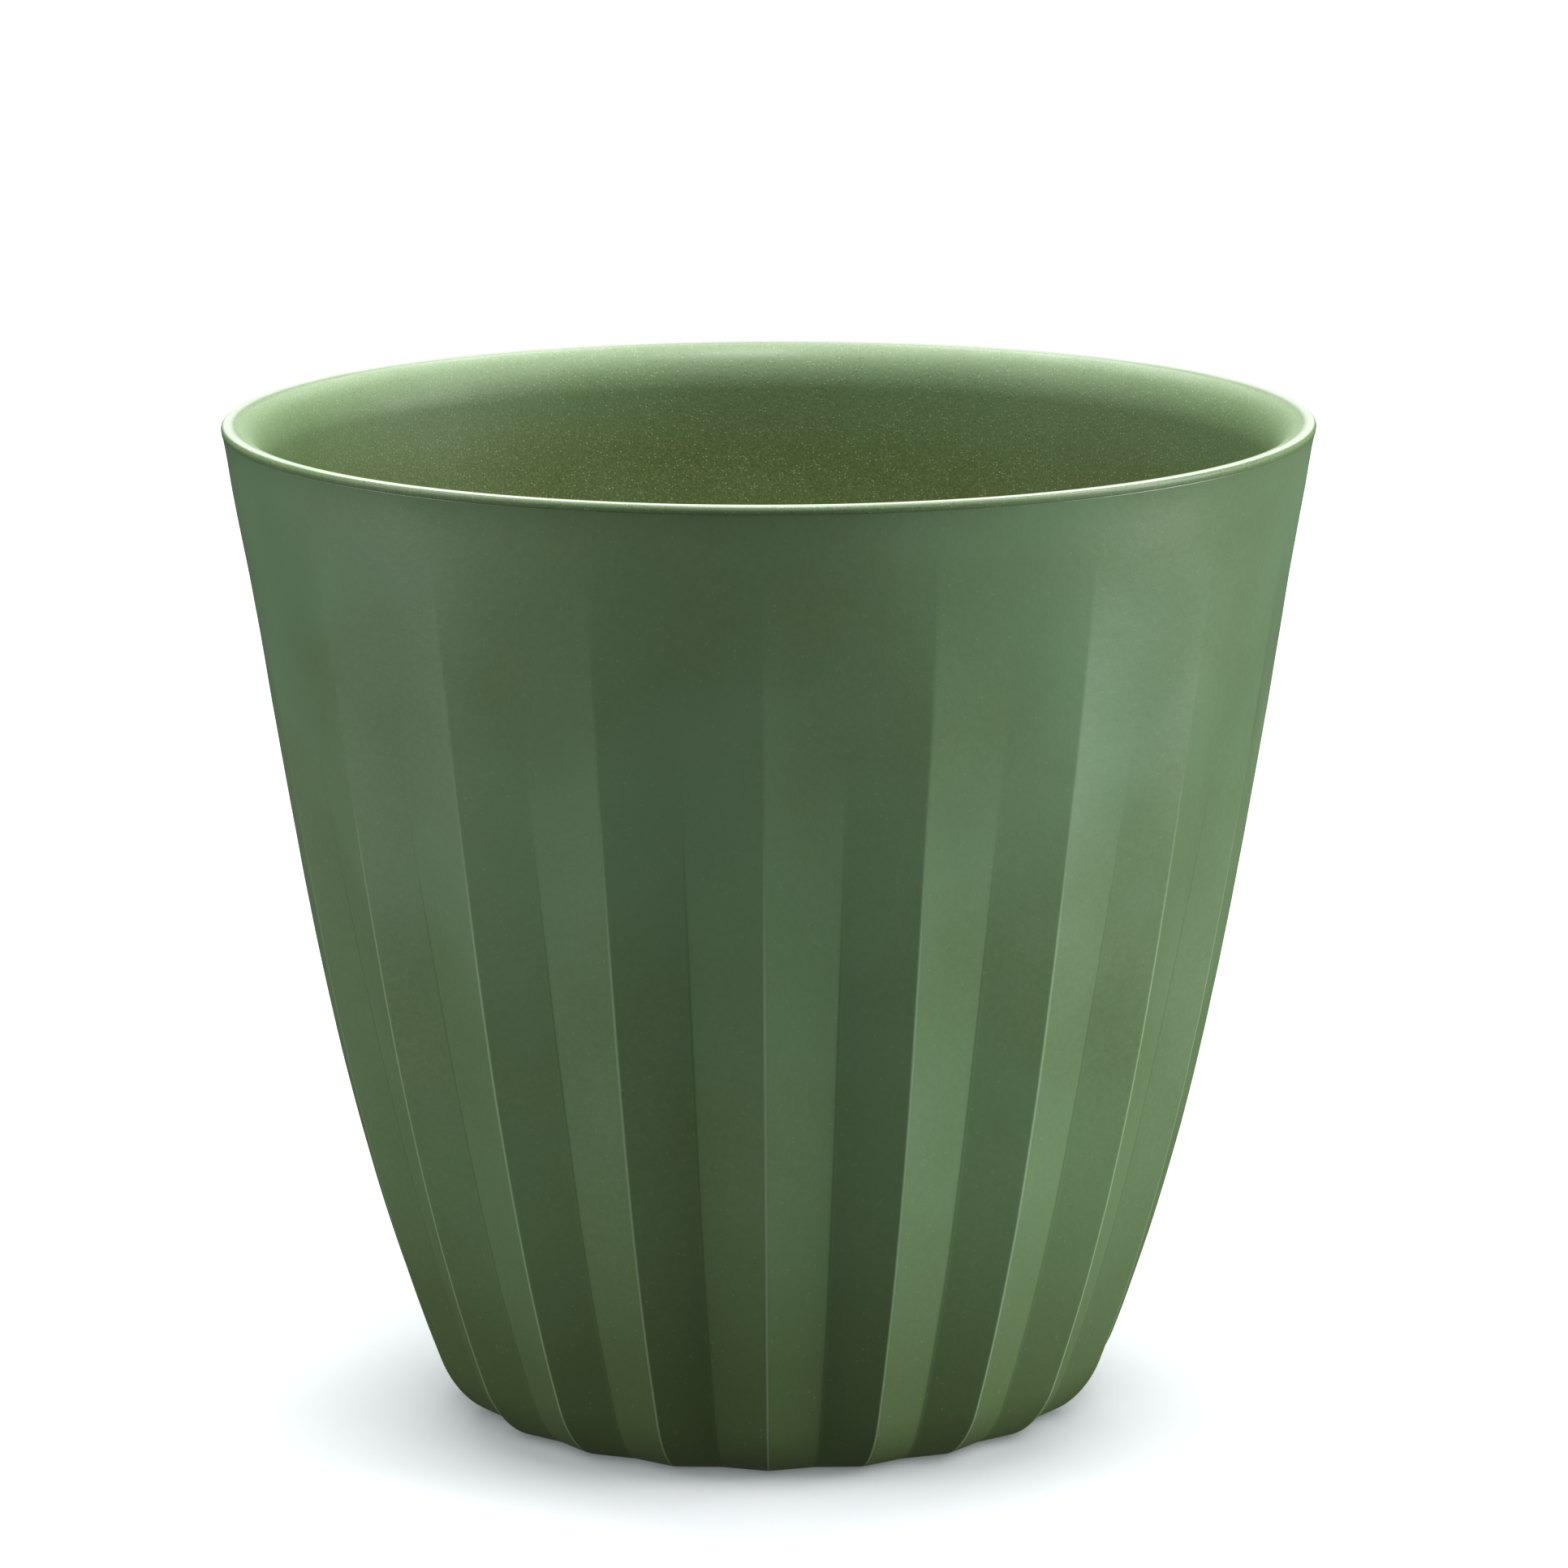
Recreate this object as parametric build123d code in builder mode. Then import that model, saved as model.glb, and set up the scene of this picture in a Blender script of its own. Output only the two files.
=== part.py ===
from build123d import *
from math import asin, cos, degrees, pi, radians, sin, sqrt
import os

# A round double-walled planting pot, in millimetres. The origin is on the floor under the centre, +Z is up.
# A pleated outer shell carries a smooth inner liner, whose rolled lip covers the shell's top edge.
# A push-in plug with a flat seal closes the drain in the floor.

# Overall size
rim_r = 200.0            # widest radius, at the lip's outer edge
crest_z = 368.8          # top of the lip
seam_z = 365.6           # the shell's top edge, under the lip's bead

# Outer shell: a drafted wall that curves in towards the foot, with pleats that fade in below the rim
pleats = 20
pleat_phase = -90.7      # direction of the front ridge, in degrees from +X
shell_top_r = 199.6      # radius at the reference height
wall_ref_z = 367.6       # height where the wall's formulas start
draft = 0.148            # inward run per millimetre of drop
belly = 18.6             # extra inward run at belly_drop below the reference
belly_drop = 340.0
pleat_full = 6.4         # ridge to valley, measured on the radius
pleat_start = 20.0       # drop below the reference where the pleats begin
pleat_run = 240.0        # further drop over which they reach full depth
pleat_ease = 1.15
flat_depth = 3.0         # pleat depth from which a facet is all but flat
facet_bulge = 0.06       # a flat facet's bulge
heel_h = 21.4            # height of the rounded heel
heel_in = 13.7           # how far the heel rounds inwards
pleat_foot = 3.4         # ridge to valley where the heel meets the floor
shell_t = 3.0
shell_floor_z = 5.0      # underside of the floor, recessed inside the foot ring
shell_floor_t = 4.0
shell_corner_h = 5.0     # slanted corner between the cavity's floor and wall
foot_inner_r = 95.0
foot_taper = 12.0

# Inner liner
liner_t = 2.6
air_gap = 5.6            # between the walls, at the pleats' valleys
bead_r = 1.7             # round outer edge of the lip
bead_step = 0.2          # how far the bead's lower edge is set back
lip_in = 14.1            # the lip's inner curve: a quarter of an ellipse
lip_drop = 18.0
seat_lap = 0.05          # how far the seat runs into the skirt
skirt_t = 2.0            # ring under the lip that locates the shell's top edge
skirt_h = 9.0
skirt_clear = 0.25
liner_heel_z = 46.0      # where the liner's wall turns into its floor
liner_floor_r = 100.0
liner_floor_z = 24.0     # the wetted floor at liner_floor_r; it falls to the drain
sump_r = 26.0            # shallow well around the drain
sump_edge_z = 20.5
sump_wall = 2.0          # inward run of the well's side
seat_z = 15.5            # the well's flat floor, where the seal sits
seat_t = 3.0
spout_r = 17.0           # drain spout, outside
spout_end_z = 2.5
spout_clear = 0.15
snap_r = 18.1            # bead on the spout that hooks under the shell's floor
snap_top_z = 4.8
snap_h = 0.8
snap_lead = 0.6          # the spout's end is this much narrower, to enter the hole

# Drain plug and seal
bore_r = 13.0
plug_clear = 0.05
plug_end_z = 4.0
plug_lead = 1.0
plug_wall = 2.4
flange_r = 19.5
flange_t = 2.6
flange_round = 1.2
seal_r = 18.6
seal_t = 2.0
seal_round = 0.6
grip_l = 27.0
grip_w = 5.0
grip_h = 15.0
grip_round = 11.3
grip_root = 1.0          # how far the grip runs down into the flange
grip_hole_r = 3.4
grip_hole_h = 7.8

half_pitch = 180.0 / pleats


def ridge_radius(z):
    """Radius of the shell's ridges at height z."""
    drop = wall_ref_z - max(z, heel_h)
    radius = shell_top_r - draft * drop - belly * (drop / belly_drop) ** 4
    if z < heel_h:
        slope = draft + 4 * belly * (drop / belly_drop) ** 3 / belly_drop
        part = (heel_h - z) / heel_h
        radius -= slope * (heel_h - z) + heel_in * (1 - sqrt(1 - part ** 2))
    return radius


def pleat_depth(z):
    """Ridge radius less valley radius at height z."""
    if z < heel_h:
        return pleat_foot + (pleat_full - pleat_foot) * sin(pi / 2 * z / heel_h)
    run = min(max((wall_ref_z - z - pleat_start) / pleat_run, 0.0), 1.0)
    return pleat_full * sin(pi / 2 * run ** pleat_ease)


def at(radius, degrees):
    """A point in a level sketch, by radius and direction."""
    return (radius * cos(radians(degrees)), radius * sin(radians(degrees)))


def pleated_section(z, inset):
    """Arcs from ridge to valley and back, all the way round: a true circle where the depth is zero."""
    ridge = ridge_radius(z) - inset
    depth = pleat_depth(z)
    valley = ridge - depth
    # A facet bulges as a circle does at the rim, and is all but flat on the full pleats.
    sagitta = ridge * (1 - cos(radians(half_pitch / 2)))
    bulge = max(sagitta * (1 - depth / flat_depth), facet_bulge)
    middle = (ridge + valley) / 2 * cos(radians(half_pitch / 2)) + bulge
    for i in range(pleats):
        start = pleat_phase + 2 * half_pitch * i
        points = [
            at(ridge, start),
            at(middle, start + half_pitch / 2),
            at(valley, start + half_pitch),
            at(middle, start + 1.5 * half_pitch),
            at(ridge, start + 2 * half_pitch),
        ]
        ThreePointArc(*points[0:3])
        ThreePointArc(*points[2:5])


# Section heights: steps of equal angle round the heel, then up the wall
heel_levels = [heel_h * (1 - sin(radians(a))) for a in (90, 74, 58, 42, 26, 12)]
wall_levels = [heel_h, 34, 50, 70, 95, 125, 160, 200, 240, 280, 315, 345, seam_z]
cavity_z = shell_floor_z + shell_floor_t
cavity_levels = [cavity_z, cavity_z + shell_corner_h]

# Pleated outer shell, open at the top
with BuildPart() as fluted_shell:
    for z in heel_levels + wall_levels:
        with BuildSketch(Plane.XY.offset(z)):
            with BuildLine():
                pleated_section(z, 0)
            make_face()
    loft()
    for z in cavity_levels + wall_levels:
        with BuildSketch(Plane.XY.offset(z)):
            with BuildLine():
                pleated_section(z, shell_t)
            make_face()
    loft(mode=Mode.SUBTRACT)
    with BuildSketch():
        Circle(foot_inner_r)
    extrude(amount=shell_floor_z, taper=foot_taper, mode=Mode.SUBTRACT)
    with BuildSketch(Plane.XY.offset(shell_floor_z)):
        Circle(spout_r + spout_clear)
    extrude(amount=shell_floor_t, mode=Mode.SUBTRACT)

fluted_shell.part.label = "fluted_shell"


def liner_radius(z):
    """The liner's wetted radius at height z: inside the shell's valleys by the walls and the gap."""
    return ridge_radius(z) - pleat_depth(z) - shell_t - air_gap - liner_t


crest_r = rim_r - bead_r
lip_z = crest_z - lip_drop
lip_r = crest_r - lip_in
wetted = [(liner_radius(z), z) for z in (290.0, 230.0, 170.0, 110.0, liner_heel_z)]
outside = [(r + liner_t, z) for r, z in wetted]
wall_slope = (0.3, 1)                # up and outwards, near the liner's heel
floor_slope = (liner_floor_r - sump_r, liner_floor_z - sump_edge_z)
bead_z = crest_z - bead_r
seat_under_z = seat_z - seat_t
skirt_r = ridge_radius(seam_z) - shell_t - skirt_clear
skirt_low_r = ridge_radius(seam_z - skirt_h) - shell_t - skirt_clear
skirt_root_z = crest_z - liner_t / 2
seat_r = skirt_r - seat_lap
under_in = lip_in - liner_t          # half axes of the curve under the lip
under_drop = lip_drop - liner_t
under_turn = degrees(asin((crest_r - seat_r) / under_in))
under_z = lip_z + under_drop * cos(radians(under_turn))

# Inner liner: a vessel turned about +Z, with its rolled lip, drain well and spout
with BuildPart() as inner_liner:
    with BuildSketch(Plane.XZ):
        with BuildLine():
            # wetted side, from the drain bore up to the crest
            Polyline((bore_r, spout_end_z), (bore_r, seat_z), (sump_r - sump_wall, seat_z),
                     (sump_r, sump_edge_z), (liner_floor_r, liner_floor_z))
            Spline((liner_floor_r, liner_floor_z), wetted[-1], tangents=(floor_slope, wall_slope))
            Spline(*reversed(wetted), (lip_r, lip_z), tangents=(wall_slope, (0, 1)))
            EllipticalCenterArc((crest_r, lip_z), lip_in, lip_drop, start_angle=90, arc_size=90)
            # over the bead, and back along the seat that rests on the shell
            CenterArc((crest_r, bead_z), bead_r, 0, 90)
            Polyline((rim_r, bead_z), (rim_r - bead_step, seam_z), (seat_r, seam_z), (seat_r, under_z))
            # underside of the lip, the wall, the floor and the well
            EllipticalCenterArc((crest_r, lip_z), under_in, under_drop,
                                start_angle=90 + under_turn, arc_size=90 - under_turn)
            Spline((lip_r + liner_t, lip_z), *outside, tangents=((0, -1), (-0.3, -1)))
            Spline(outside[-1], (liner_floor_r, liner_floor_z - liner_t),
                   tangents=((-0.3, -1), (-floor_slope[0], -floor_slope[1])))
            Polyline((liner_floor_r, liner_floor_z - liner_t),
                     (sump_r + sump_wall, sump_edge_z - liner_t), (sump_r, seat_under_z),
                     (spout_r, seat_under_z), (spout_r, snap_top_z), (snap_r, snap_top_z),
                     (snap_r, snap_top_z - snap_h), (spout_r - snap_lead, spout_end_z),
                     (bore_r, spout_end_z))
        make_face()
        # locating skirt inside the shell's top edge
        with BuildLine():
            Polyline((skirt_r, skirt_root_z), (skirt_r, seam_z), (skirt_low_r, seam_z - skirt_h),
                     (skirt_low_r - skirt_t, seam_z - skirt_h), (skirt_r - skirt_t, seam_z),
                     (skirt_r - skirt_t, skirt_root_z), close=True)
        make_face()
    revolve(axis=Axis.Z)

inner_liner.part.label = "inner_liner"

# Drain plug: a hollow shank in the liner's bore, a flange over the seal, and a grip with a finger hole
shank_r = bore_r - plug_clear
flange_z = seat_z + seal_t
flange_top_z = flange_z + flange_t

with BuildPart() as drain_plug:
    with BuildSketch(Plane.XY.offset(plug_end_z)):
        Circle(shank_r)
    extrude(amount=flange_z - plug_end_z)
    chamfer(drain_plug.edges().sort_by(Axis.Z)[0], plug_lead)
    with BuildSketch(Plane.XY.offset(plug_end_z)):
        Circle(shank_r - plug_wall)
    extrude(amount=flange_z - plug_end_z - plug_wall, mode=Mode.SUBTRACT)
    with BuildSketch(Plane.XY.offset(flange_z)):
        Circle(flange_r)
    extrude(amount=flange_t)
    fillet(drain_plug.edges().filter_by(GeomType.CIRCLE).sort_by(Axis.Z)[-1], flange_round)
    with BuildSketch(Plane.XZ.offset(-grip_w / 2)):
        with Locations((0, flange_top_z - grip_root)):
            Rectangle(grip_l, grip_h + grip_root, align=(Align.CENTER, Align.MIN))
        fillet(vertices().group_by(Axis.Y)[-1], grip_round)
        with Locations((0, flange_top_z + grip_hole_h)):
            Circle(grip_hole_r, mode=Mode.SUBTRACT)
    extrude(amount=grip_w)

drain_plug.part.label = "drain_plug"

# Flat seal under the plug's flange
with BuildPart() as plug_seal:
    with BuildSketch(Plane.XY.offset(seat_z)):
        Circle(seal_r)
        Circle(bore_r + plug_clear, mode=Mode.SUBTRACT)
    extrude(amount=seal_t)
    outer_edges = plug_seal.edges().filter_by(GeomType.CIRCLE).sort_by(SortBy.RADIUS)[-2:]
    fillet(outer_edges, seal_round)

plug_seal.part.label = "plug_seal"

os.makedirs("parts", exist_ok=True)
export_step(fluted_shell.part, "parts/fluted_shell.step")
export_step(inner_liner.part, "parts/inner_liner.step")
export_step(drain_plug.part, "parts/drain_plug.step")
export_step(plug_seal.part, "parts/plug_seal.step")
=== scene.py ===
import math

import bmesh
import bpy
from mathutils import Matrix, Vector, noise


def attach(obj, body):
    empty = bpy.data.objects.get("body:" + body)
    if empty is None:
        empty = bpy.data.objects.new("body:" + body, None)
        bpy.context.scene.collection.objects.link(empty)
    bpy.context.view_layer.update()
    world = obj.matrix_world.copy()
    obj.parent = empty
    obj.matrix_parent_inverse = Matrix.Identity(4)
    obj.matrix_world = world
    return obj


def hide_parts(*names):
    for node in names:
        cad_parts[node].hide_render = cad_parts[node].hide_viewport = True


# A double-walled planting pot on a white sweep, seen from slightly above its rim.
# The shapes are drawn in millimetres, as in the CAD source, and scaled to metres as they become pieces.
# Materials, lights and camera are in metres throughout.
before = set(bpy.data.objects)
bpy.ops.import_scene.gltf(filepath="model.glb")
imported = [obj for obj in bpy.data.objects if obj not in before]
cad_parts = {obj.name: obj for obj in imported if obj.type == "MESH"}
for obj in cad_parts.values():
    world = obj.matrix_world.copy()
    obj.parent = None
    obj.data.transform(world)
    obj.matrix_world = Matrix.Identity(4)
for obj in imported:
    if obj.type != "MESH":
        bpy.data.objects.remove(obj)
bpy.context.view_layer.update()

MM = 0.001

# ---------------------------------------------------------------- dimensions, as in the CAD source
RIM_R = 200.0
CREST_Z = 368.8
SEAM_Z = 365.6
PLEATS = 20
PLEAT_PHASE = math.radians(-90.7)
HALF_PITCH = math.pi / PLEATS
SHELL_TOP_R = 199.6
WALL_REF_Z = 367.6
DRAFT = 0.148
BELLY = 18.6
BELLY_DROP = 340.0
PLEAT_FULL = 6.4
PLEAT_START = 20.0
PLEAT_RUN = 240.0
PLEAT_EASE = 1.15
FLAT_DEPTH = 3.0
FACET_BULGE = 0.06
HEEL_H = 21.4
HEEL_IN = 13.7
PLEAT_FOOT = 3.4
SHELL_T = 3.0
SHELL_FLOOR_Z = 5.0
SHELL_FLOOR_T = 4.0
FOOT_INNER_R = 95.0
FOOT_TAPER = math.radians(12)
LINER_T = 2.6
AIR_GAP = 5.6
BEAD_R = 1.7
BEAD_STEP = 0.2
CREST_R = RIM_R - BEAD_R
LIP_IN = 14.1
LIP_DROP = 18.0
SKIRT_T = 2.0
SKIRT_H = 9.0
SKIRT_CLEAR = 0.25
LINER_HEEL_Z = 46.0
LINER_FLOOR_R = 100.0
LINER_FLOOR_Z = 24.0
SUMP_R = 26.0
SUMP_EDGE_Z = 20.5
SUMP_WALL = 2.0
SEAT_Z = 15.5
SEAT_T = 3.0
SPOUT_R = 17.0
SPOUT_END_Z = 2.5
SPOUT_CLEAR = 0.15
SNAP_R = 18.1
SNAP_TOP_Z = 4.8
SNAP_H = 0.8
SNAP_LEAD = 0.6
BORE_R = 13.0
PLUG_CLEAR = 0.05
PLUG_END_Z = 4.0
PLUG_LEAD = 1.0
PLUG_WALL = 2.4
FLANGE_R = 19.5
FLANGE_T = 2.6
FLANGE_ROUND = 1.2
SEAL_R = 18.6
SEAL_T = 2.0
SEAL_ROUND = 0.6
GRIP_L = 27.0
GRIP_W = 5.0
GRIP_H = 15.0
GRIP_ROUND = 11.3
GRIP_HOLE_R = 3.4
GRIP_HOLE_H = 7.8

# ---------------------------------------------------------------- moulded detail beyond the CAD model
RIDGE_SETBACK = 0.75     # how far from a ridge its rounding starts, along the facet
VALLEY_SETBACK = 1.1
EDGE_SUPPORT = 0.7       # a loop this far beyond each rounding keeps the facets flat
FACET_LOOPS = (0.17, 0.31, 0.45, 0.59, 0.73)    # places of the other loops, from ridge to valley
WAVE = 0.20              # unevenness of the moulded wall
WAVE_LONG = 38.0         # the sizes of its two waves
WAVE_SHORT = 17.0
WAVE_FADE = 30.0         # it dies out this far from the top edge and from the foot
FLARE = 0.36             # the shell's top edge turns out to meet the bead
FLARE_H = 9.0
FLARE_GAP = 0.12
LIP_START_Z = 290.0      # the liner's wall starts to turn into the lip here
HEEL_STEPS = 14
WALL_STEPS = 56
INSIDE_STEPS = 24
LINER_STEPS = 26
LINER_SEGMENTS = 320
PLUG_SEGMENTS = 96
HOLE_SEGMENTS = 40
PLUG_AXIS_R = 0.6        # the plug's flat faces close round this small disc
GRIP_SUNK = 1.0          # the grip starts this far inside the flange
GRIP_EASE = 1.1          # rounding of the grip's rims

# ---------------------------------------------------------------- colours, linear
SHELL_HIGH_WARM = (0.180, 0.286, 0.136)
SHELL_HIGH_COOL = (0.192, 0.334, 0.178)
# painted shade: the lower wall's colours are darker and warmer than the upper ones
SHELL_SHADED_LOW_WARM = (0.164, 0.264, 0.104)
SHELL_SHADED_LOW_COOL = (0.174, 0.300, 0.128)
SHELL_GRAIN = (0.220, 0.350, 0.186)
# painted shade over the foot
SHELL_FOOT_SHADE = (0.104, 0.160, 0.046)
SHELL_FLECK = (0.36, 0.50, 0.31)
# painted highlight along the ridges
SHELL_RIDGE_HIGHLIGHT = (0.42, 0.60, 0.36)
# painted shade along the valleys
SHELL_VALLEY_SHADE = (0.07, 0.12, 0.04)
# painted shade: the liner's inside is much darker than its lip
INSIDE_SHADE_WARM = (0.074, 0.108, 0.016)
INSIDE_SHADE_COOL = (0.080, 0.132, 0.032)
LIP_WARM = (0.146, 0.232, 0.104)
LIP_COOL = (0.158, 0.250, 0.116)
# painted highlight along the lip's crest
LIP_CREST_HIGHLIGHT = (0.48, 0.56, 0.44)
LINER_GRAIN = (0.25, 0.34, 0.14)
LINER_LIGHT_SPECK = (0.36, 0.46, 0.24)
LINER_DARK_SPECK = (0.04, 0.07, 0.01)
PLUG_DARK = (0.030, 0.048, 0.026)
PLUG_LIGHT = (0.042, 0.064, 0.036)
RUBBER = (0.012, 0.012, 0.012)
RUBBER_DUSTY = (0.030, 0.030, 0.028)
PAPER_DARK = (0.62, 0.634, 0.650)
PAPER_LIGHT = (0.65, 0.664, 0.680)
PAPER_GLOW = (0.84, 0.96, 1.0)

# where the painted highlight lines along the ridges and the painted shade lines along the valleys show, in
# metres
LINES_END_Z = 0.30
LINES_FULL_Z = 0.16
OUTSIDE_R = (0.096, 0.099)
ABOVE_FOOT_Z = (0.0, 0.002)


def ridge_radius(z):
    drop = WALL_REF_Z - max(z, HEEL_H)
    radius = SHELL_TOP_R - DRAFT * drop - BELLY * (drop / BELLY_DROP) ** 4
    if z < HEEL_H:
        slope = DRAFT + 4 * BELLY * (drop / BELLY_DROP) ** 3 / BELLY_DROP
        part = (HEEL_H - z) / HEEL_H
        radius -= slope * (HEEL_H - z) + HEEL_IN * (1 - math.sqrt(1 - part ** 2))
    return radius


def pleat_depth(z):
    if z < HEEL_H:
        return PLEAT_FOOT + (PLEAT_FULL - PLEAT_FOOT) * math.sin(math.pi / 2 * z / HEEL_H)
    run = min(max((WALL_REF_Z - z - PLEAT_START) / PLEAT_RUN, 0.0), 1.0)
    return PLEAT_FULL * math.sin(math.pi / 2 * run ** PLEAT_EASE)


def liner_radius(z):
    return ridge_radius(z) - pleat_depth(z) - SHELL_T - AIR_GAP - LINER_T


# ---------------------------------------------------------------- mesh helpers
def new_piece(name, mesh, material, body, node):
    """Links a mesh, in millimetres, as a piece that stands for a CAD node."""
    mesh.transform(Matrix.Scale(MM, 4))
    mesh.validate()
    for polygon in mesh.polygons:
        polygon.use_smooth = True
    mesh.materials.append(material)
    piece = bpy.data.objects.new(name, mesh)
    bpy.context.scene.collection.objects.link(piece)
    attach(piece, body)
    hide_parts(node)
    return piece


def ring_mesh(name, rings):
    """A closed surface through rings of points. The last ring joins the first."""
    count = len(rings[0])
    points = [p for ring in rings for p in ring]
    faces = []
    for i in range(len(rings)):
        j = (i + 1) % len(rings)
        for k in range(count):
            m = (k + 1) % count
            faces.append((i * count + k, i * count + m, j * count + m, j * count + k))
    mesh = bpy.data.meshes.new(name)
    mesh.from_pydata(points, [], faces)
    shape = bmesh.new()
    shape.from_mesh(mesh)
    bmesh.ops.recalc_face_normals(shape, faces=shape.faces)
    shape.to_mesh(mesh)
    shape.free()
    return mesh


def turned_rings(profile, segments):
    """Rings from a closed (radius, height) profile, turned about +Z."""
    rings = []
    for radius, z in profile:
        rings.append([
            (radius * math.cos(2 * math.pi * k / segments), radius * math.sin(2 * math.pi * k / segments), z)
            for k in range(segments)
        ])
    return rings


def rounded(points, steps=4):
    """A polyline through (x, y, corner radius) points, each corner replaced by an arc-like curve."""
    result = []
    for i, (x, y, corner) in enumerate(points):
        if corner == 0:
            result.append((x, y))
            continue
        here = Vector((x, y))
        before = Vector(points[i - 1][:2]) - here
        after = Vector(points[(i + 1) % len(points)][:2]) - here
        half = before.angle(after) / 2
        setback = min(corner / math.tan(half), before.length * 0.48, after.length * 0.48)
        start = here + before.normalized() * setback
        end = here + after.normalized() * setback
        weight = math.sin(half)
        for s in range(steps + 1):
            t = s / steps
            a, b, c = (1 - t) ** 2, 2 * t * (1 - t) * weight, t * t
            p = (start * a + here * b + end * c) / (a + b + c)
            result.append((p.x, p.y))
    return result


def hermite(start, end, start_slope, end_slope, steps):
    """Points after start up to end, as a cubic with the given end tangents."""
    points = []
    for s in range(1, steps + 1):
        t = s / steps
        h = (2 * t ** 3 - 3 * t * t + 1, t ** 3 - 2 * t * t + t, -2 * t ** 3 + 3 * t * t, t ** 3 - t * t)
        points.append(tuple(
            h[0] * start[k] + h[1] * start_slope[k] + h[2] * end[k] + h[3] * end_slope[k] for k in (0, 1)
        ))
    return points


def quarter(centre, across, up, start, end, steps):
    """Points of an ellipse, from start to end degrees, both included."""
    points = []
    for s in range(steps + 1):
        angle = math.radians(start + (end - start) * s / steps)
        points.append((centre[0] + across * math.cos(angle), centre[1] + up * math.sin(angle)))
    return points


# ---------------------------------------------------------------- pleated shell
def pleated_ring(z, inset, soften):
    """One closed section of the pleated wall: flat facets between rounded ridges and softer valleys."""
    ridge = ridge_radius(z) - inset
    depth = pleat_depth(z)
    valley = ridge - depth
    sagitta = ridge * (1 - math.cos(HALF_PITCH / 2))
    bulge = max(sagitta * (1 - depth / FLAT_DEPTH), FACET_BULGE)
    ring = []
    for i in range(PLEATS):
        turn = PLEAT_PHASE + 2 * HALF_PITCH * i
        top = Vector((ridge * math.cos(turn), ridge * math.sin(turn)))
        sides = []
        for side in (1, -1):
            low = turn + side * HALF_PITCH
            foot = Vector((valley * math.cos(low), valley * math.sin(low)))
            chord = foot - top
            out = Vector((chord.y, -chord.x)) * side
            sides.append((top, chord, out.normalized()))

        def on_facet(side, t):
            start, chord, out = sides[side]
            return start + chord * t + out * (4 * bulge * t * (1 - t))

        length = sides[0][1].length
        near = RIDGE_SETBACK / length
        far = VALLEY_SETBACK / length
        support = EDGE_SUPPORT / length
        shares = [near + support, *FACET_LOOPS, 1 - far - support, 1 - far]
        rise = [on_facet(0, near), on_facet(1, near)]
        ridge_point = rise[0] * 0.25 + rise[1] * 0.25 + top * 0.5
        shoulder = [
            rise[side] * 0.5625 + rise[1 - side] * 0.0625 + top * 0.375 for side in (0, 1)
        ]
        # each valley is shared by two pleats, so this one's half is mirrored in the valley's radius
        half = []
        for side in (0, 1):
            edge, bottom = on_facet(side, 1 - far), on_facet(side, 1)
            radial = bottom.normalized()
            mirror = radial * (2 * edge.dot(radial)) - edge
            half.append(edge * 0.5625 + mirror * 0.0625 + bottom * 0.375)
        edge, bottom = on_facet(0, 1 - far), on_facet(0, 1)
        radial = bottom.normalized()
        valley_point = radial * (edge.dot(radial) * 0.5) + bottom * 0.5
        # from the valley before this ridge to just before the valley after it
        left = [half[1]] + [on_facet(1, t) for t in reversed(shares)] + [rise[1], shoulder[1]]
        right = [shoulder[0], rise[0]] + [on_facet(0, t) for t in shares] + [half[0], valley_point]
        for p in left + [ridge_point] + right:
            ring.append((p.x, p.y, z))
    if soften:
        ring = [wavy(p) for p in ring]
    return ring


def flared(ring, z):
    """The same section, turned out towards the bead near the shell's top edge."""
    part = max(0.0, 1 - (SEAM_Z - z) / FLARE_H)
    grow = FLARE * part * part
    return [(x * (1 + grow / math.hypot(x, y)), y * (1 + grow / math.hypot(x, y)), h) for x, y, h in ring]


def wavy(p):
    """A moulded wall isn't perfectly true: a slow wave along its radius that dies out at both ends."""
    x, y, z = p
    ends = min(1.0, (SEAM_Z - z) / WAVE_FADE) * min(1.0, z / WAVE_FADE)
    wave = noise.noise(Vector((x, y, z * 0.6)) / WAVE_LONG)
    wave += 0.5 * noise.noise(Vector((x, y, z)) / WAVE_SHORT + Vector((7, 3, 5)))
    scale = 1 + WAVE * wave * ends / math.hypot(x, y)
    return (x * scale, y * scale, z)


def circle_like(ring, radius, z):
    """A circle whose points have the directions of a section's points."""
    points = []
    for x, y, _ in ring:
        share = radius / math.hypot(x, y)
        points.append((x * share, y * share, z))
    return points


def between(ring, radius, z, share):
    """A ring part of the way from a section to a circle."""
    target = circle_like(ring, radius, z)
    return [
        tuple(a[k] + (b[k] - a[k]) * share for k in (0, 1, 2)) for a, b in zip(ring, target)
    ]


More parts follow.
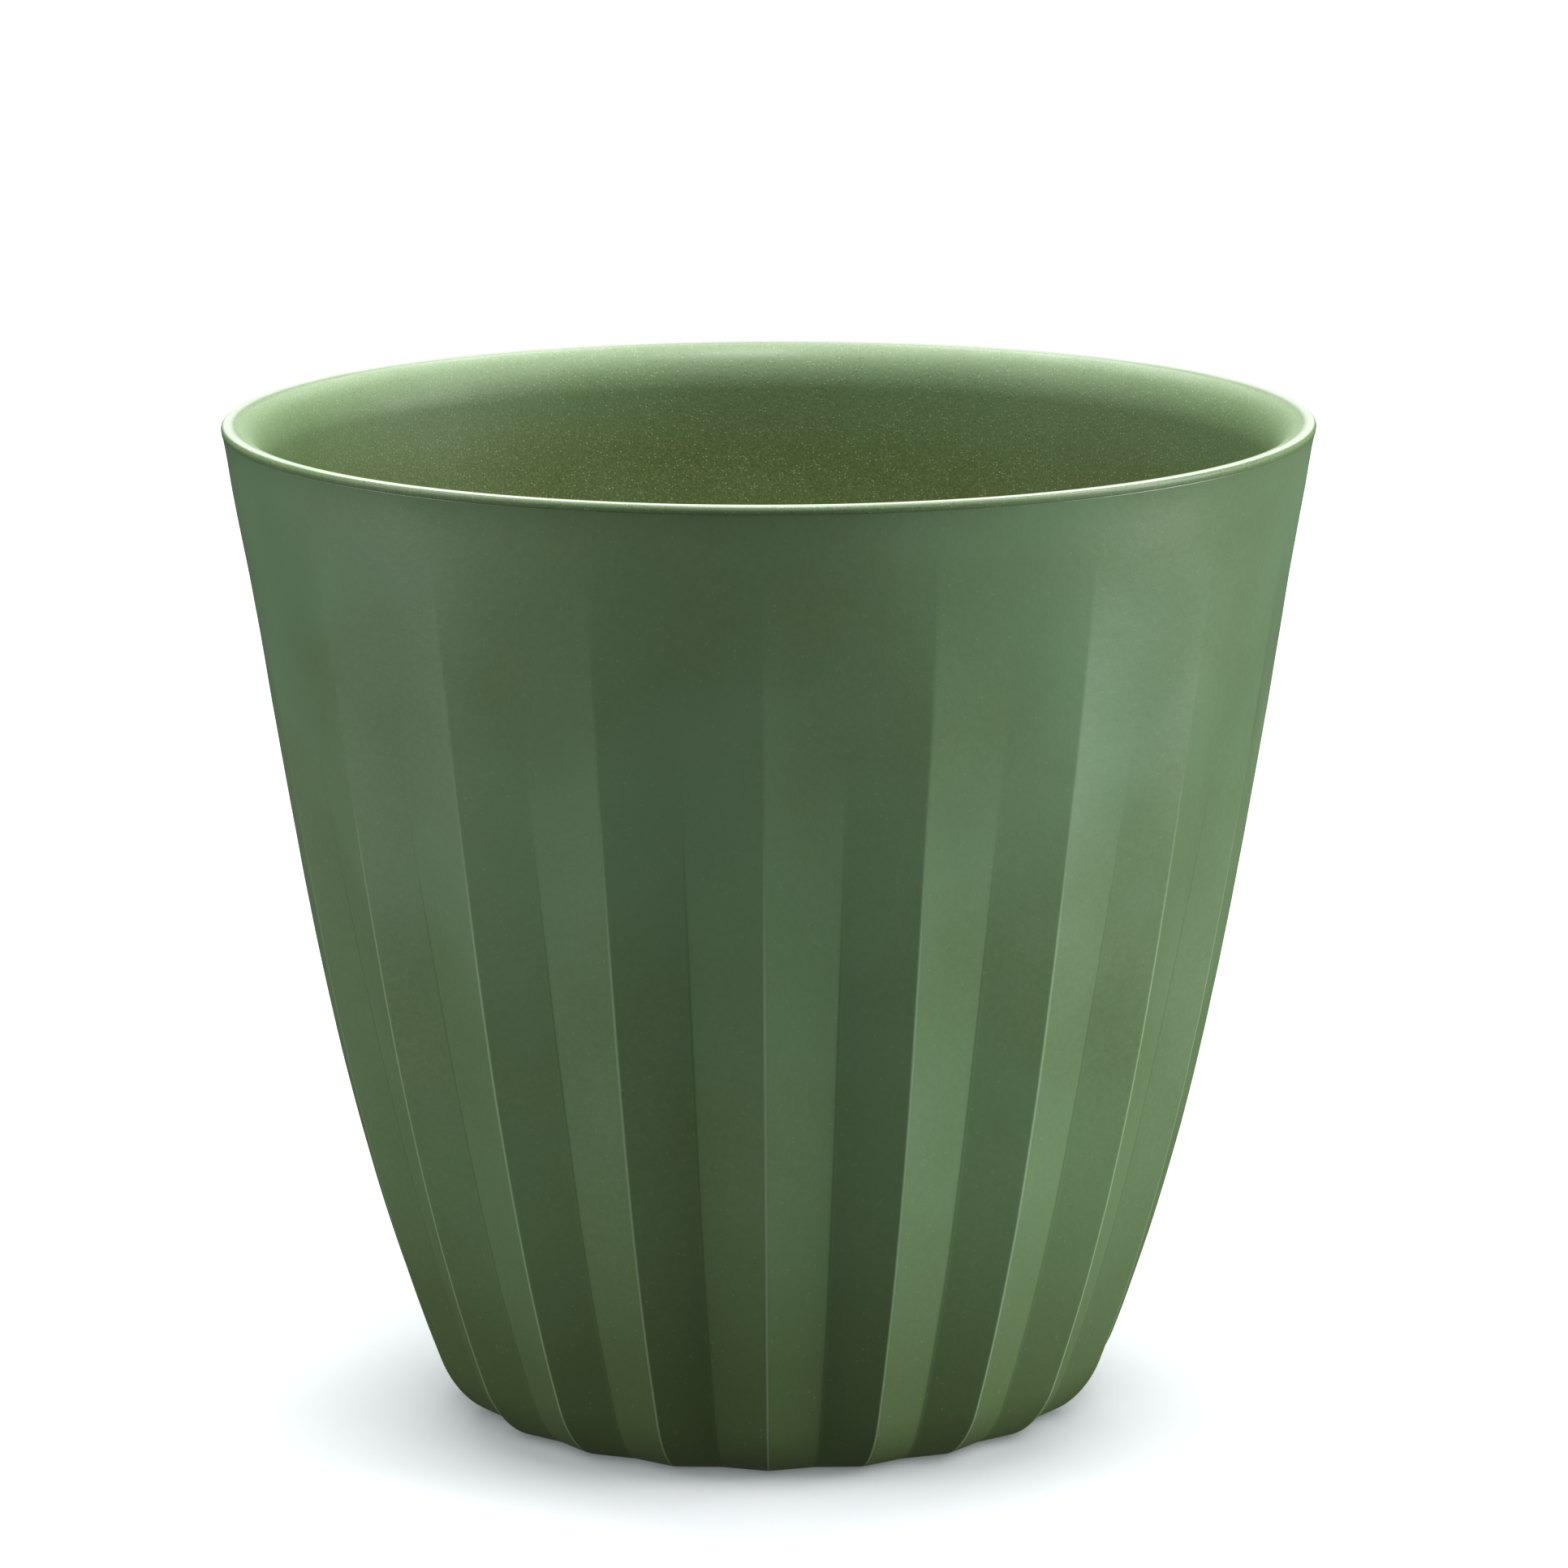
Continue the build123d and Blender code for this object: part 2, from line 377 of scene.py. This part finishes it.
def make_shell():
    heel = [HEEL_H * (1 - math.cos(math.pi / 2 * s / HEEL_STEPS)) for s in range(HEEL_STEPS)]
    wall = [HEEL_H + (SEAM_Z - HEEL_H) * s / WALL_STEPS for s in range(WALL_STEPS)]
    top_edge = [SEAM_Z - 2.6, SEAM_Z - 1.2, SEAM_Z - 0.4, SEAM_Z - FLARE_GAP]
    rings = [flared(pleated_ring(z, 0, True), z) for z in reversed(heel + wall + top_edge)]
    # flat foot ring, recess, floor and drain hole
    foot = pleated_ring(0, 0, False)
    recess_r = FOOT_INNER_R - SHELL_FLOOR_Z * math.tan(FOOT_TAPER)
    for share in (0.3, 0.65):
        rings.append(between(foot, FOOT_INNER_R, 0, share))
    hole_r = SPOUT_R + SPOUT_CLEAR
    cavity_z = SHELL_FLOOR_Z + SHELL_FLOOR_T
    under = rounded([
        (FOOT_INNER_R + 3, 0, 0), (FOOT_INNER_R, 0, 0.8), (recess_r, SHELL_FLOOR_Z, 1.2),
        (80, SHELL_FLOOR_Z, 0), (60, SHELL_FLOOR_Z, 0), (40, SHELL_FLOOR_Z, 0), (25, SHELL_FLOOR_Z, 0),
        (hole_r, SHELL_FLOOR_Z, 0.5), (hole_r, cavity_z, 0.3),
        (25, cavity_z, 0), (45, cavity_z, 0), (70, cavity_z, 0), (95, cavity_z, 0),
    ])
    for radius, z in under[1:]:
        rings.append(circle_like(foot, radius, z))
    # inside wall and top edge
    inside = [HEEL_H + (SEAM_Z - HEEL_H) * s / INSIDE_STEPS for s in range(INSIDE_STEPS + 1)]
    for z in [cavity_z + 0.2, cavity_z + 5] + inside:
        rings.append(pleated_ring(z, SHELL_T, False))
    rings.append(circle_like(foot, ridge_radius(SEAM_Z) - SHELL_T + 0.4, SEAM_Z))
    rings.append(circle_like(foot, ridge_radius(SEAM_Z) + FLARE - FLARE_GAP, SEAM_Z))
    return ring_mesh("pleated_shell", rings)


# ---------------------------------------------------------------- smooth liner with its rolled lip
def liner_profile():
    """The closed (radius, height) outline of the liner, starting at the foot of its bore."""
    lip_z = CREST_Z - LIP_DROP
    lip_r = CREST_R - LIP_IN
    wall_z = [LINER_HEEL_Z + (LIP_START_Z - LINER_HEEL_Z) * s / LINER_STEPS for s in range(LINER_STEPS + 1)]
    heel_r = liner_radius(LINER_HEEL_Z)
    start_r = liner_radius(LIP_START_Z)
    # the directions in which the wall leaves the heel and reaches the lip
    slope_low = Vector((liner_radius(48) - liner_radius(46), 2))
    slope_top = Vector((start_r - liner_radius(288), 2))
    corner = math.hypot(heel_r - LINER_FLOOR_R, LINER_HEEL_Z - LINER_FLOOR_Z)
    floor_way = Vector((LINER_FLOOR_R - SUMP_R, LINER_FLOOR_Z - SUMP_EDGE_Z)).normalized() * corner * 1.1
    low_way = slope_low.normalized() * corner * 1.1
    top_run = lip_z - LIP_START_Z
    top_way = slope_top.normalized() * top_run
    lip_way = Vector((0, top_run))
    # bore, drain well and floor
    path = rounded([
        (BORE_R, SPOUT_END_Z, 0.3), (BORE_R, SEAT_Z, 0.4), (SUMP_R - SUMP_WALL, SEAT_Z, 0.9),
        (SUMP_R, SUMP_EDGE_Z, 1.0), (45, SUMP_EDGE_Z + 19 * floor_way.y / floor_way.x, 0),
        (72, SUMP_EDGE_Z + 46 * floor_way.y / floor_way.x, 0), (LINER_FLOOR_R, LINER_FLOOR_Z, 0),
    ])
    # corner, wall and the lip's inner curve
    path += hermite((LINER_FLOOR_R, LINER_FLOOR_Z), (heel_r, LINER_HEEL_Z), floor_way, low_way, 12)
    path += [(liner_radius(z), z) for z in wall_z[1:]]
    path += hermite((start_r, LIP_START_Z), (lip_r, lip_z), top_way, lip_way, 9)
    path += quarter((CREST_R, lip_z), LIP_IN, LIP_DROP, 180, 90, 20)[1:]
    # bead, seat on the shell's top edge and locating skirt
    path += quarter((CREST_R, CREST_Z - BEAD_R), BEAD_R, BEAD_R, 90, 0, 10)[1:]
    skirt_r = ridge_radius(SEAM_Z) - SHELL_T - SKIRT_CLEAR
    skirt_low_z = SEAM_Z - SKIRT_H
    skirt_low_r = ridge_radius(skirt_low_z) - SHELL_T - SKIRT_CLEAR
    path += rounded([
        (RIM_R, CREST_Z - BEAD_R - 0.1, 0), (RIM_R - BEAD_STEP, SEAM_Z, 0.1),
        (skirt_r, SEAM_Z, 0.2), (skirt_low_r, skirt_low_z, 0.4),
        (skirt_low_r - SKIRT_T, skirt_low_z, 0.4), (skirt_r - SKIRT_T, SEAM_Z, 0),
    ], 2)
    # underside of the lip, then the outside of the wall and floor, down to the spout
    under_lip = (CREST_R - skirt_r + SKIRT_T) / (LIP_IN - LINER_T)
    start = 180 - math.degrees(math.acos(under_lip))
    path += quarter((CREST_R, lip_z), LIP_IN - LINER_T, LIP_DROP - LINER_T, start, 180, 10)
    turn = hermite((start_r, LIP_START_Z), (lip_r, lip_z), top_way, lip_way, 6)[:-1]
    path += [(r + LINER_T, z) for r, z in reversed(turn)]
    path += [(liner_radius(z) + LINER_T, z) for z in reversed(wall_z[::2])]
    path += hermite((heel_r + LINER_T, LINER_HEEL_Z), (LINER_FLOOR_R, LINER_FLOOR_Z - LINER_T),
                    -low_way, -floor_way, 8)
    path += rounded([
        (LINER_FLOOR_R - 1, LINER_FLOOR_Z - LINER_T, 0), (SUMP_R + SUMP_WALL, SUMP_EDGE_Z - LINER_T, 0.8),
        (SUMP_R, SEAT_Z - SEAT_T, 0.8), (SPOUT_R, SEAT_Z - SEAT_T, 0.3), (SPOUT_R, SNAP_TOP_Z, 0.1),
        (SNAP_R, SNAP_TOP_Z, 0.15), (SNAP_R, SNAP_TOP_Z - SNAP_H, 0.15),
        (SPOUT_R - SNAP_LEAD, SPOUT_END_Z, 0.2), (BORE_R, SPOUT_END_Z, 0),
    ], 2)[:-1]
    return path


# ---------------------------------------------------------------- plug and seal
def make_plug_body(flange_z, top_z):
    """The turned part of the plug: shank, flange and hollow."""
    shank = BORE_R - PLUG_CLEAR
    roof_z = flange_z - PLUG_WALL
    profile = rounded([
        (PLUG_AXIS_R, roof_z, 0), (shank - PLUG_WALL, roof_z, 0.8), (shank - PLUG_WALL, PLUG_END_Z, 0.3),
        (shank - PLUG_LEAD, PLUG_END_Z, 0.3), (shank, PLUG_END_Z + PLUG_LEAD, 0.5), (shank, flange_z, 0),
        (FLANGE_R, flange_z, 0.4), (FLANGE_R, top_z, FLANGE_ROUND), (PLUG_AXIS_R, top_z, 0),
    ])
    body = bmesh.new()
    grid = [[body.verts.new(p) for p in ring] for ring in turned_rings(profile, PLUG_SEGMENTS)]
    for low, high in zip(grid, grid[1:]):
        for k in range(PLUG_SEGMENTS):
            m = (k + 1) % PLUG_SEGMENTS
            body.faces.new((low[k], low[m], high[m], high[k]))
    body.faces.new(grid[0])
    body.faces.new(grid[-1])
    bmesh.ops.recalc_face_normals(body, faces=body.faces)
    mesh = bpy.data.meshes.new("plug_body")
    body.to_mesh(mesh)
    body.free()
    return mesh


def make_plug_grip(top_z):
    """The grip: a rounded fin with a finger hole, its rims eased."""
    fin = bmesh.new()
    half_l = GRIP_L / 2
    arch = quarter((half_l - GRIP_ROUND, top_z + GRIP_H - GRIP_ROUND), GRIP_ROUND, GRIP_ROUND, 0, 90, 14)
    outline = [(half_l, top_z - GRIP_SUNK)] + arch
    outline += [(-x, z) for x, z in reversed(outline)]
    hole_z = top_z + GRIP_HOLE_H
    turns = [2 * math.pi * k / HOLE_SEGMENTS for k in range(HOLE_SEGMENTS)]
    hole = [(GRIP_HOLE_R * math.cos(turn), hole_z + GRIP_HOLE_R * math.sin(turn)) for turn in turns]
    edges = []
    for loop in (outline, hole):
        corners = [fin.verts.new((x, -GRIP_W / 2, z)) for x, z in loop]
        edges += [fin.edges.new((corners[k], corners[(k + 1) % len(corners)])) for k in range(len(corners))]
    filled = bmesh.ops.triangle_fill(fin, use_beauty=True, edges=edges, normal=(0, -1, 0))
    front = [g for g in filled["geom"] if isinstance(g, bmesh.types.BMFace)]
    pushed = bmesh.ops.extrude_face_region(fin, geom=front, use_keep_orig=True)
    moved = [g for g in pushed["geom"] if isinstance(g, bmesh.types.BMVert)]
    bmesh.ops.translate(fin, verts=moved, vec=(0, GRIP_W, 0))
    bmesh.ops.recalc_face_normals(fin, faces=fin.faces)
    # the rims are the sharp edges that lie in the front and back faces, above the buried end
    rims = []
    for edge in fin.edges:
        sharp = len(edge.link_faces) == 2 and edge.calc_face_angle(0) > 1.2
        lowest = min(v.co.z for v in edge.verts)
        across = abs(edge.verts[0].co.y - edge.verts[1].co.y)
        if sharp and lowest > top_z - GRIP_SUNK + 0.1 and across < 0.1:
            rims.append(edge)
    bmesh.ops.bevel(fin, geom=rims, offset=GRIP_EASE, offset_type="OFFSET", segments=4, profile=0.5,
                    affect="EDGES", clamp_overlap=True)
    mesh = bpy.data.meshes.new("plug_fin")
    fin.to_mesh(mesh)
    fin.free()
    return mesh


def make_plug():
    flange_z = SEAT_Z + SEAL_T
    top_z = flange_z + FLANGE_T
    base = bpy.data.objects.new("plug_base", make_plug_body(flange_z, top_z))
    tool = bpy.data.objects.new("plug_tool", make_plug_grip(top_z))
    for item in (base, tool):
        bpy.context.scene.collection.objects.link(item)
    union = base.modifiers.new("union", "BOOLEAN")
    union.operation = "UNION"
    union.solver = "EXACT"
    union.object = tool
    bpy.context.view_layer.update()
    joined = bpy.data.meshes.new_from_object(base.evaluated_get(bpy.context.evaluated_depsgraph_get()))
    for item in (base, tool):
        bpy.data.objects.remove(item)
    return joined


def make_seal():
    inner = BORE_R + PLUG_CLEAR
    top = SEAT_Z + SEAL_T
    profile = [
        (inner, SEAT_Z, 0.2), (SEAL_R, SEAT_Z, SEAL_ROUND), (SEAL_R, top, SEAL_ROUND), (inner, top, 0.2),
    ]
    return ring_mesh("seal", turned_rings(rounded(profile, 5), PLUG_SEGMENTS))


# ---------------------------------------------------------------- materials, in metres
def nodes_of(name):
    material = bpy.data.materials.new(name)
    material.use_nodes = True
    tree = material.node_tree
    shader = tree.nodes["Principled BSDF"]
    place = tree.nodes.new("ShaderNodeTexCoord")
    return material, tree, shader, place.outputs["Object"]


def noise_node(tree, place, scale, detail, roughness=0.5):
    node = tree.nodes.new("ShaderNodeTexNoise")
    node.inputs["Scale"].default_value = scale
    node.inputs["Detail"].default_value = detail
    node.inputs["Roughness"].default_value = roughness
    tree.links.new(place, node.inputs["Vector"])
    return node.outputs["Fac"]


def ramp(tree, value, low, high, to_low=0.0, to_high=1.0):
    """Maps low..high to to_low..to_high, eased at both ends and held beyond them."""
    node = tree.nodes.new("ShaderNodeMapRange")
    node.inputs["From Min"].default_value = low
    node.inputs["From Max"].default_value = high
    node.inputs["To Min"].default_value = to_low
    node.inputs["To Max"].default_value = to_high
    node.interpolation_type = "SMOOTHSTEP"
    tree.links.new(value, node.inputs["Value"])
    return node.outputs["Result"]


def mix(tree, factor, a, b):
    """From colour a to colour b. Each is a colour or another node's output."""
    node = tree.nodes.new("ShaderNodeMix")
    node.data_type = "RGBA"
    tree.links.new(factor, node.inputs[0])
    for value, socket in ((a, node.inputs[6]), (b, node.inputs[7])):
        if isinstance(value, tuple):
            socket.default_value = (*value, 1)
        else:
            tree.links.new(value, socket)
    return node.outputs[2]


def tint(tree, mask, strength, colour, to):
    """Turns a colour towards another where the mask is 1, by at most the strength."""
    return mix(tree, ramp(tree, mask, 0, 1, 0, strength), colour, to)


def add(tree, a, b, weight=1.0):
    node = tree.nodes.new("ShaderNodeMath")
    node.operation = "MULTIPLY_ADD"
    tree.links.new(b, node.inputs[0])
    node.inputs[1].default_value = weight
    tree.links.new(a, node.inputs[2])
    return node.outputs[0]


def times(tree, a, b):
    node = tree.nodes.new("ShaderNodeMath")
    node.operation = "MULTIPLY"
    tree.links.new(a, node.inputs[0])
    tree.links.new(b, node.inputs[1])
    return node.outputs[0]


def specks(tree, place, scale, share, size):
    """1 inside small round specks in a share of the cells, 0 elsewhere."""
    cells = tree.nodes.new("ShaderNodeTexVoronoi")
    cells.inputs["Scale"].default_value = scale
    tree.links.new(place, cells.inputs["Vector"])
    picked = tree.nodes.new("ShaderNodeSeparateColor")
    tree.links.new(cells.outputs["Color"], picked.inputs[0])
    chosen = ramp(tree, picked.outputs[0], 1 - share, 1 - share + 0.02)
    near = ramp(tree, cells.outputs["Distance"], size, size * 0.5)
    return times(tree, chosen, near)


def bump(tree, shader, height, distance):
    node = tree.nodes.new("ShaderNodeBump")
    node.inputs["Distance"].default_value = distance
    tree.links.new(height, node.inputs["Height"])
    tree.links.new(node.outputs["Normal"], shader.inputs["Normal"])


def height_of(tree, place, low, high, to_low=0.0, to_high=1.0):
    """A value that follows the height above the floor, eased at both ends."""
    parts = tree.nodes.new("ShaderNodeSeparateXYZ")
    tree.links.new(place, parts.inputs[0])
    return ramp(tree, parts.outputs["Z"], low, high, to_low, to_high)


def pleat_lines(tree, place, width, from_valley):
    """1 along the ridges, or along the valleys, fading out over a width given as a share of a pleat."""
    turn = tree.nodes.new("ShaderNodeMapping")
    turn.inputs["Rotation"].default_value = (0, 0, -PLEAT_PHASE)
    tree.links.new(place, turn.inputs["Vector"])
    around = tree.nodes.new("ShaderNodeTexGradient")
    around.gradient_type = "RADIAL"
    tree.links.new(turn.outputs[0], around.inputs[0])
    pleat = tree.nodes.new("ShaderNodeMath")
    pleat.operation = "MULTIPLY_ADD"
    pleat.inputs[1].default_value = PLEATS
    pleat.inputs[2].default_value = 0.5 if from_valley else 0.0
    tree.links.new(around.outputs["Fac"], pleat.inputs[0])
    away = tree.nodes.new("ShaderNodeMath")
    away.operation = "PINGPONG"
    away.inputs[1].default_value = 0.5
    tree.links.new(pleat.outputs[0], away.inputs[0])
    line = ramp(tree, away.outputs[0], width, 0.0)
    # they fade out towards the rim, and there are none under the foot
    flat = tree.nodes.new("ShaderNodeVectorMath")
    flat.operation = "MULTIPLY"
    flat.inputs[1].default_value = (1, 1, 0)
    tree.links.new(place, flat.inputs[0])
    radius = tree.nodes.new("ShaderNodeVectorMath")
    radius.operation = "LENGTH"
    tree.links.new(flat.outputs[0], radius.inputs[0])
    line = times(tree, line, height_of(tree, place, LINES_END_Z, LINES_FULL_Z))
    line = times(tree, line, ramp(tree, radius.outputs["Value"], *OUTSIDE_R))
    return times(tree, line, height_of(tree, place, *ABOVE_FOOT_Z))


def shell_material():
    """Satin plastic: slow clouding in warm and cool greens, fine grain, light flecks; painted shade that
    darkens it towards the bottom, over the foot and along the valleys, and painted highlight lines along the
    ridges.
    """
    material, tree, shader, place = nodes_of("sage_satin_plastic")
    cloud = ramp(tree, noise_node(tree, place, 8, 3, 0.55), 0.36, 0.64)
    high = mix(tree, cloud, SHELL_HIGH_WARM, SHELL_HIGH_COOL)
    low = mix(tree, cloud, SHELL_SHADED_LOW_WARM, SHELL_SHADED_LOW_COOL)
    # painted shade: darker and warmer towards the bottom of the wall
    colour = mix(tree, height_of(tree, place, 0.02, 0.34), low, high)
    grain = ramp(tree, noise_node(tree, place, 420, 3, 0.6), 0.25, 0.75, 0.0, 0.35)
    colour = mix(tree, grain, colour, SHELL_GRAIN)
    # painted shade: darker still over the foot
    colour = mix(tree, height_of(tree, place, 0.125, -0.01, 0.0, 0.80), colour, SHELL_FOOT_SHADE)
    colour = tint(tree, specks(tree, place, 520, 0.12, 0.28), 0.30, colour, SHELL_FLECK)
    # painted highlight: a light line along each ridge
    colour = tint(tree, pleat_lines(tree, place, 0.017, False), 0.75, colour, SHELL_RIDGE_HIGHLIGHT)
    # painted shade: a dark line along each valley
    colour = tint(tree, pleat_lines(tree, place, 0.016, True), 0.40, colour, SHELL_VALLEY_SHADE)
    tree.links.new(colour, shader.inputs["Base Color"])
    patch = noise_node(tree, place, 11, 2)
    tree.links.new(ramp(tree, patch, 0.32, 0.68, 0.29, 0.44), shader.inputs["Roughness"])
    height = add(tree, noise_node(tree, place, 260, 2), noise_node(tree, place, 900, 2), 0.35)
    bump(tree, shader, height, 0.00006)
    shader.inputs["Specular IOR Level"].default_value = 0.9
    return material


def liner_material():
    """The same plastic with a matt grain and fine specks, smoother over the lip, polished at its crest;
    painted shade makes it much darker deep inside than over the lip, and a painted highlight lines its
    crest.
    """
    material, tree, shader, place = nodes_of("sage_grained_plastic")
    cloud = ramp(tree, noise_node(tree, place, 11, 3, 0.55), 0.3, 0.7)
    inside = mix(tree, cloud, INSIDE_SHADE_WARM, INSIDE_SHADE_COOL)
    lip = mix(tree, cloud, LIP_WARM, LIP_COOL)
    # painted shade deep inside the liner, lighter over the lip
    colour = mix(tree, height_of(tree, place, 0.320, 0.366), inside, lip)
    grain = ramp(tree, noise_node(tree, place, 1100, 2, 0.7), 0.42, 0.68, 0.0, 0.30)
    colour = mix(tree, grain, colour, LINER_GRAIN)
    light = specks(tree, place, 900, 0.30, 0.34)
    colour = tint(tree, light, 0.6, colour, LINER_LIGHT_SPECK)
    colour = tint(tree, specks(tree, place, 780, 0.30, 0.36), 0.45, colour, LINER_DARK_SPECK)
    # painted highlight along the crest
    colour = mix(tree, height_of(tree, place, 0.3683, 0.3688, 0.0, 0.90), colour, LIP_CREST_HIGHLIGHT)
    tree.links.new(colour, shader.inputs["Base Color"])
    matt = ramp(tree, noise_node(tree, place, 30, 3), 0.3, 0.7, 0.50, 0.60)
    matt = add(tree, matt, height_of(tree, place, 0.345, 0.364, 0.0, -0.06))
    matt = add(tree, matt, height_of(tree, place, 0.3672, 0.3687, 0.0, -0.30))
    tree.links.new(matt, shader.inputs["Roughness"])
    height = add(tree, noise_node(tree, place, 750, 3, 0.65), light, 0.6)
    height = times(tree, height, height_of(tree, place, 0.3682, 0.358, 0.08, 1.0))
    bump(tree, shader, height, 0.00012)
    shader.inputs["Specular IOR Level"].default_value = 0.6
    return material


def plug_material():
    """Smooth dark plastic with a faint moulded texture."""
    material, tree, shader, place = nodes_of("dark_green_plastic")
    cloud = ramp(tree, noise_node(tree, place, 60, 3), 0.3, 0.7)
    tree.links.new(mix(tree, cloud, PLUG_DARK, PLUG_LIGHT), shader.inputs["Base Color"])
    matt = ramp(tree, noise_node(tree, place, 180, 3), 0.3, 0.7, 0.38, 0.52)
    tree.links.new(matt, shader.inputs["Roughness"])
    height = add(tree, noise_node(tree, place, 1400, 2), noise_node(tree, place, 220, 2), 0.5)
    bump(tree, shader, height, 0.00006)
    return material


def seal_material():
    """Black rubber with a little dust."""
    material, tree, shader, place = nodes_of("black_rubber")
    dust = ramp(tree, noise_node(tree, place, 240, 4, 0.6), 0.35, 0.75)
    tree.links.new(mix(tree, dust, RUBBER, RUBBER_DUSTY), shader.inputs["Base Color"])
    tree.links.new(ramp(tree, dust, 0, 1, 0.62, 0.82), shader.inputs["Roughness"])
    bump(tree, shader, noise_node(tree, place, 1600, 3), 0.00005)
    return material


def floor_material():
    """White paper on a light table: it glows a little, so the shadow under the pot stays pale and cool."""
    material, tree, shader, place = nodes_of("white_sweep")
    paper = ramp(tree, noise_node(tree, place, 5, 4), 0.3, 0.7)
    tree.links.new(mix(tree, paper, PAPER_DARK, PAPER_LIGHT), shader.inputs["Base Color"])
    shader.inputs["Roughness"].default_value = 0.9
    shader.inputs["Specular IOR Level"].default_value = 0.1
    shader.inputs["Emission Color"].default_value = (*PAPER_GLOW, 1)
    shader.inputs["Emission Strength"].default_value = 0.14
    return material


# ---------------------------------------------------------------- pieces
new_piece("pleated_shell", make_shell(), shell_material(), "pot", "fluted_shell")
liner = ring_mesh("rolled_lip_liner", turned_rings(liner_profile(), LINER_SEGMENTS))
new_piece("rolled_lip_liner", liner, liner_material(), "pot", "inner_liner")
new_piece("drain_stopper", make_plug(), plug_material(), "plug", "drain_plug")
new_piece("stopper_seal", make_seal(), seal_material(), "plug", "plug_seal")

# ---------------------------------------------------------------- floor
FLOOR_HALF = 14.0
FLOOR_CELLS = 8
floor_mesh = bpy.data.meshes.new("floor")
marks = [-FLOOR_HALF + 2 * FLOOR_HALF * i / FLOOR_CELLS for i in range(FLOOR_CELLS + 1)]
corners = [(x, y, 0.0) for y in marks for x in marks]
row = FLOOR_CELLS + 1
quads = [
    (j * row + i, j * row + i + 1, (j + 1) * row + i + 1, (j + 1) * row + i)
    for j in range(FLOOR_CELLS) for i in range(FLOOR_CELLS)
]
floor_mesh.from_pydata(corners, [], quads)
floor_mesh.materials.append(floor_material())
floor = bpy.data.objects.new("floor", floor_mesh)
bpy.context.scene.collection.objects.link(floor)
floor.visible_diffuse = False
floor.visible_glossy = False
floor.visible_shadow = False


# ---------------------------------------------------------------- light and camera
LIGHT_AWAY = 3
WIDE = 34

# name, azimuth, elevation and spread in degrees, power. Azimuth 0 is the camera's side, 90 is +X.
SOFTBOXES = [
    ("right_low", 88, 2, WIDE, 1.95),
    ("right_high", 86, 40, WIDE, 1.25),
    ("right_top", 60, 70, WIDE, 0.9),
    ("left_low", -82, 1, WIDE, 0.76),
    ("left_high", -84, 40, WIDE, 0.72),
    ("left_top", -60, 70, WIDE, 0.5),
    ("front", 4, 38, WIDE, 0.48),
    ("back_left", -150, 50, WIDE, 1.1),
    ("back_right", 150, 46, WIDE, 0.9),
    ("back_low", 180, 18, 44, 0.26),
    ("back_high", 180, 60, 60, 1.35),
    ("top", -8, 84, 20, 1.5),
]
for name, azimuth, elevation, spread, power in SOFTBOXES:
    lamp = bpy.data.lights.new(name, "SUN")
    lamp.angle = math.radians(spread)
    lamp.energy = power
    holder = bpy.data.objects.new(name, lamp)
    a, e = math.radians(azimuth), math.radians(elevation)
    away = Vector((math.sin(a) * math.cos(e), -math.cos(a) * math.cos(e), math.sin(e)))
    holder.location = away * LIGHT_AWAY
    holder.rotation_euler = away.to_track_quat("Z", "Y").to_euler()
    bpy.context.scene.collection.objects.link(holder)

# white to the camera, but only a faint fill on the pot
BACKDROP = 1.0
FILL = 0.05
world = bpy.data.worlds.new("studio")
bpy.context.scene.world = world
world.use_nodes = True
sky = world.node_tree
surround = sky.nodes["Background"]
surround.inputs["Color"].default_value = (1, 1, 1, 1)
ray = sky.nodes.new("ShaderNodeLightPath")
seen = sky.nodes.new("ShaderNodeMapRange")
seen.inputs["To Min"].default_value = FILL
seen.inputs["To Max"].default_value = BACKDROP
sky.links.new(ray.outputs["Is Camera Ray"], seen.inputs["Value"])
sky.links.new(seen.outputs["Result"], surround.inputs["Strength"])

CAMERA_BACK = 2.5226
CAMERA_HIGH = 0.7553
PITCH = math.radians(11.735)
YAW = math.radians(-0.119)
ROLL = math.radians(-0.159)
LENS = 159.84
SENSOR = 36.0
camera_data = bpy.data.cameras.new("camera")
camera_data.sensor_width = SENSOR
camera_data.lens = LENS
camera = bpy.data.objects.new("camera", camera_data)
camera.matrix_world = (
    Matrix.Translation((0, -CAMERA_BACK, CAMERA_HIGH))
    @ Matrix.Rotation(YAW, 4, "Z")
    @ Matrix.Rotation(math.pi / 2 - PITCH, 4, "X")
    @ Matrix.Rotation(ROLL, 4, "Z")
)
bpy.context.scene.collection.objects.link(camera)
bpy.context.scene.camera = camera
bpy.context.scene.view_settings.view_transform = "Standard"
